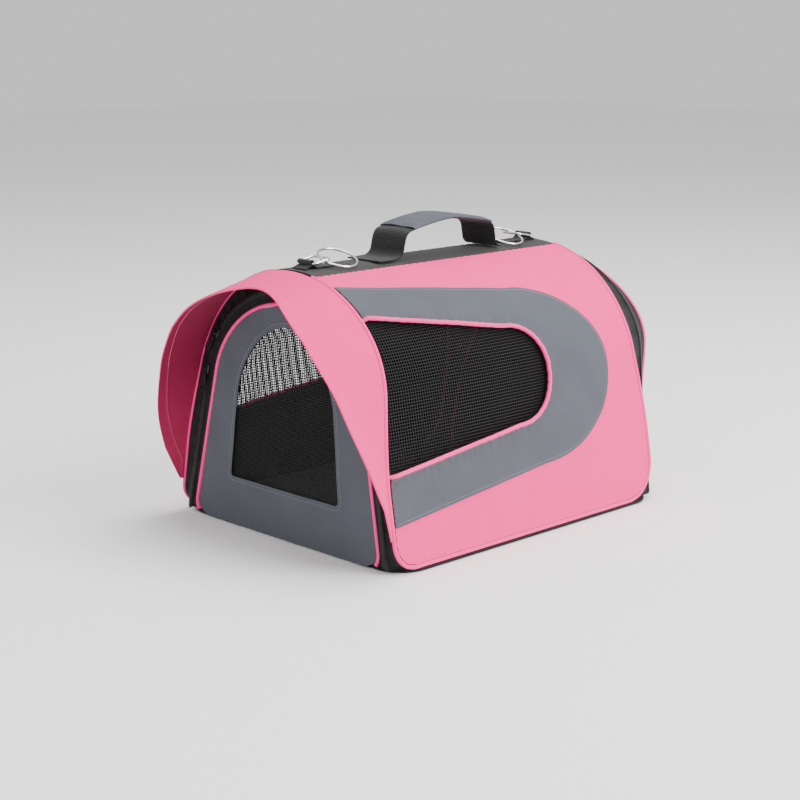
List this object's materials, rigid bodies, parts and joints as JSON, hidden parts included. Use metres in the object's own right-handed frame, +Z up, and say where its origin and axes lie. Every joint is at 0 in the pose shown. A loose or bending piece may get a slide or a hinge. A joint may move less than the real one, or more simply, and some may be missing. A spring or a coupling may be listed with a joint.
{
  "type": "pet carrier bag",
  "caption": "Soft-sided pet carrier with an arched body, mesh windows, zip-round end doors, a hood over the front door, a padded carry handle and strap rings.",
  "frame": {"origin": "centre of the base, on its underside", "axes": "+X along the bag to its rear end, -X to the front door, -Y the near side, +Z up"},
  "size_m": [0.4917, 0.3448, 0.3227],
  "materials": {
    "pink_fabric": "woven polyester, slight sheen",
    "pink_piping": "cord covered with woven tape",
    "gray_fabric": "woven polyester, matte",
    "black_mesh": "open knitted mesh",
    "black_webbing": "woven webbing, matte",
    "black_fabric": "woven tape, matte",
    "black_zip_teeth": "moulded coil, satin",
    "black_slider": "black enamel",
    "chrome_wire": "polished",
    "board": "matte",
    "pad_fabric": "brushed"
  },
  "bodies": {
    "shell": {"near_side_panel": "pink_fabric", "far_side_panel": "pink_fabric", "hood": "pink_fabric", "near_edge_piping": "pink_piping", "far_edge_piping": "pink_piping", "near_window_piping": "pink_piping", "far_window_piping": "pink_piping", "near_gray_band": "gray_fabric", "far_gray_band": "gray_fabric", "handle_grip": "gray_fabric", "near_window_mesh": "black_mesh", "far_window_mesh": "black_mesh", "ridge_strip": "black_webbing", "handle_webbing": "black_webbing", "front_ring_tab": "black_webbing", "rear_ring_tab": "black_webbing", "base_panel": "black_fabric", "front_gusset_body_tape": "black_fabric", "rear_gusset_body_tape": "black_fabric", "front_zip_body_teeth": "black_zip_teeth", "rear_zip_body_teeth": "black_zip_teeth", "base_board": "board", "floor_pad": "pad_fabric"},
    "front_door": {"front_door_panel": "gray_fabric", "front_door_mesh": "black_mesh", "front_door_piping": "pink_piping", "front_gusset_door_tape": "black_fabric", "front_zip_door_teeth": "black_zip_teeth", "front_high_slider": "black_slider"},
    "rear_door": {"rear_door_panel": "gray_fabric", "rear_door_mesh": "black_mesh", "rear_door_piping": "pink_piping", "rear_gusset_door_tape": "black_fabric", "rear_zip_door_teeth": "black_zip_teeth", "rear_slider": "black_slider"},
    "front_low_slider": {"front_low_slider": "black_slider"},
    "front_low_pull": {"front_low_pull": "black_slider"},
    "front_high_pull": {"front_high_pull": "black_slider"},
    "rear_pull": {"rear_pull": "black_slider"},
    "front_bar_ring": {"front_bar_ring": "chrome_wire"},
    "front_round_ring": {"front_round_ring": "chrome_wire"},
    "rear_bar_ring": {"rear_bar_ring": "chrome_wire"},
    "rear_round_ring": {"rear_round_ring": "chrome_wire"}
  },
  "joints": [
    {"name": "front_door_hinge", "type": "hinge", "parent": "shell", "child": "front_door", "pos_m": [-0.20083, 0, 0.0037], "axis": [0, -1, 0], "range_deg": [0, 85]},
    {"name": "rear_door_hinge", "type": "hinge", "parent": "shell", "child": "rear_door", "pos_m": [0.20752, 0, 0.0037], "axis": [0, 1, 0], "range_deg": [0, 80]},
    {"name": "front_low_slider_slide", "type": "slide", "parent": "front_door", "child": "front_low_slider", "axis": [-0.051, 0.1847, -0.9815], "range_m": [0, 0.12]},
    {"name": "front_low_pull_hinge", "type": "hinge", "parent": "front_low_slider", "child": "front_low_pull", "pos_m": [-0.19999, 0.1255, 0.16333], "axis": [0.1096, 0.9779, 0.1783], "range_deg": [0, 150]},
    {"name": "front_high_pull_hinge", "type": "hinge", "parent": "front_door", "child": "front_high_pull", "pos_m": [-0.19778, 0.10986, 0.20445], "axis": [0.2103, 0.8207, 0.5312], "range_deg": [0, 150]},
    {"name": "rear_pull_hinge", "type": "hinge", "parent": "rear_door", "child": "rear_pull", "pos_m": [0.21648, 0.13396, 0.18889], "axis": [0.9484, -0.3034, -0.0918], "range_deg": [0, 150]},
    {"name": "front_bar_ring_hinge", "type": "hinge", "parent": "shell", "child": "front_bar_ring", "pos_m": [-0.165, 0, 0.2858], "axis": [0, -1, 0], "range_deg": [0, 150]},
    {"name": "front_round_ring_hinge", "type": "hinge", "parent": "front_bar_ring", "child": "front_round_ring", "pos_m": [-0.14333, 0, 0.28962], "axis": [0, -1, 0], "range_deg": [0, 40]},
    {"name": "rear_bar_ring_hinge", "type": "hinge", "parent": "shell", "child": "rear_bar_ring", "pos_m": [0.165, 0, 0.2858], "axis": [0, 1, 0], "range_deg": [0, 150]},
    {"name": "rear_round_ring_hinge", "type": "hinge", "parent": "rear_bar_ring", "child": "rear_round_ring", "pos_m": [0.14333, 0, 0.28962], "axis": [0, 1, 0], "range_deg": [0, 40]}
  ]
}
